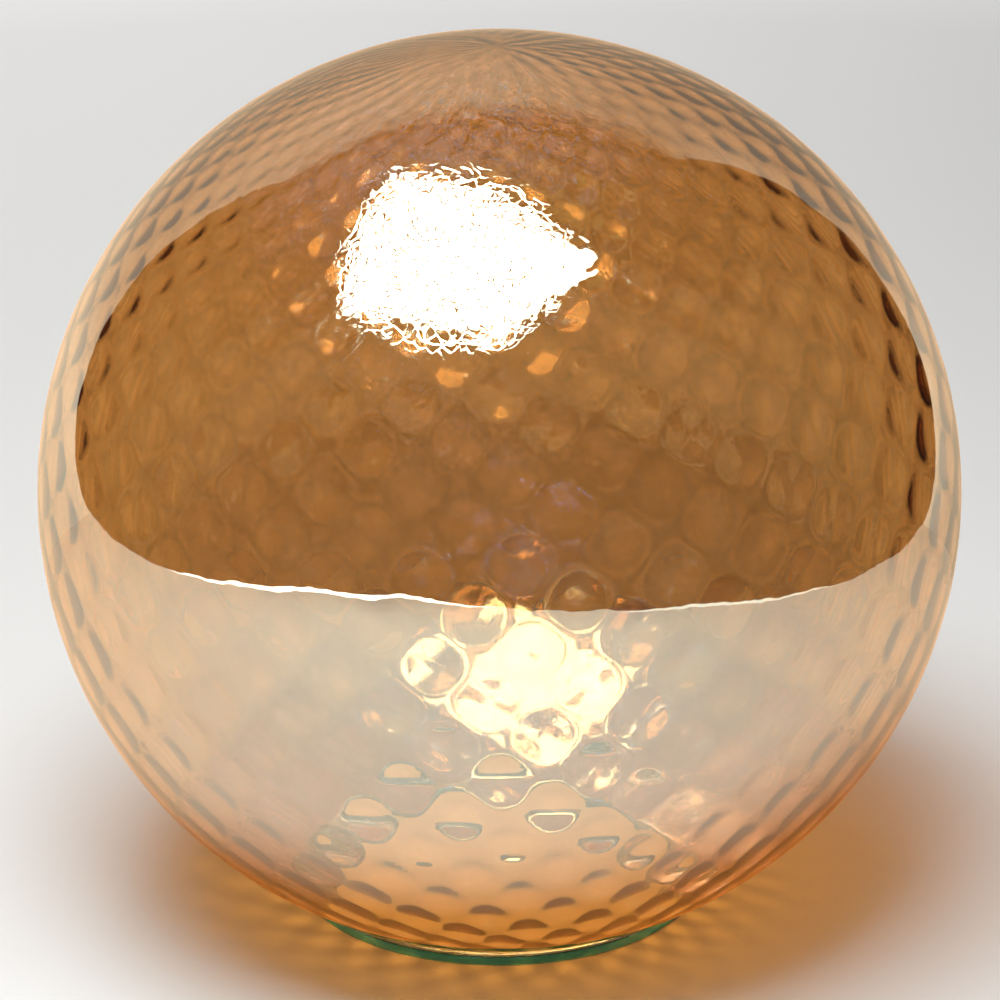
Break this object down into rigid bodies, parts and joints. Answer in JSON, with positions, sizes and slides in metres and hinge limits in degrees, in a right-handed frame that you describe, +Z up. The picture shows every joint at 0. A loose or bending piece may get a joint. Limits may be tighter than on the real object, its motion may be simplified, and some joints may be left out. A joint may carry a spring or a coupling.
{
  "type": "half-mirrored glass ball on a base ring",
  "caption": "Hollow, open-bottomed ball of dimpled amber glass with a half-mirror lustre, nesting in the bevelled bore of a flat green glass base ring; the ball lifts off.",
  "frame": {"origin": "centre of the base ring's underside, on the surface that the object stands on", "axes": "+Z up along the axis of the ring and the ball; X and Y are free, because both pieces are turned shapes"},
  "size_m": [0.3498, 0.3498, 0.3373],
  "materials": {
    "amber_lustre_glass": "clear amber blown glass with a thin half-mirror lustre, smooth outside and optic-moulded in rows of cells inside",
    "green_glass": "plain flat glass with its faces left as drawn and its edges ground and polished, dark green seen edge-on"
  },
  "bodies": {
    "base": {"base_ring": "green_glass"},
    "ball": {"ball": "amber_lustre_glass"}
  },
  "joints": [
    {"name": "ball_lift", "type": "slide", "parent": "base", "child": "ball", "axis": [0, 0, 1], "range_m": [0, 0.06]}
  ]
}
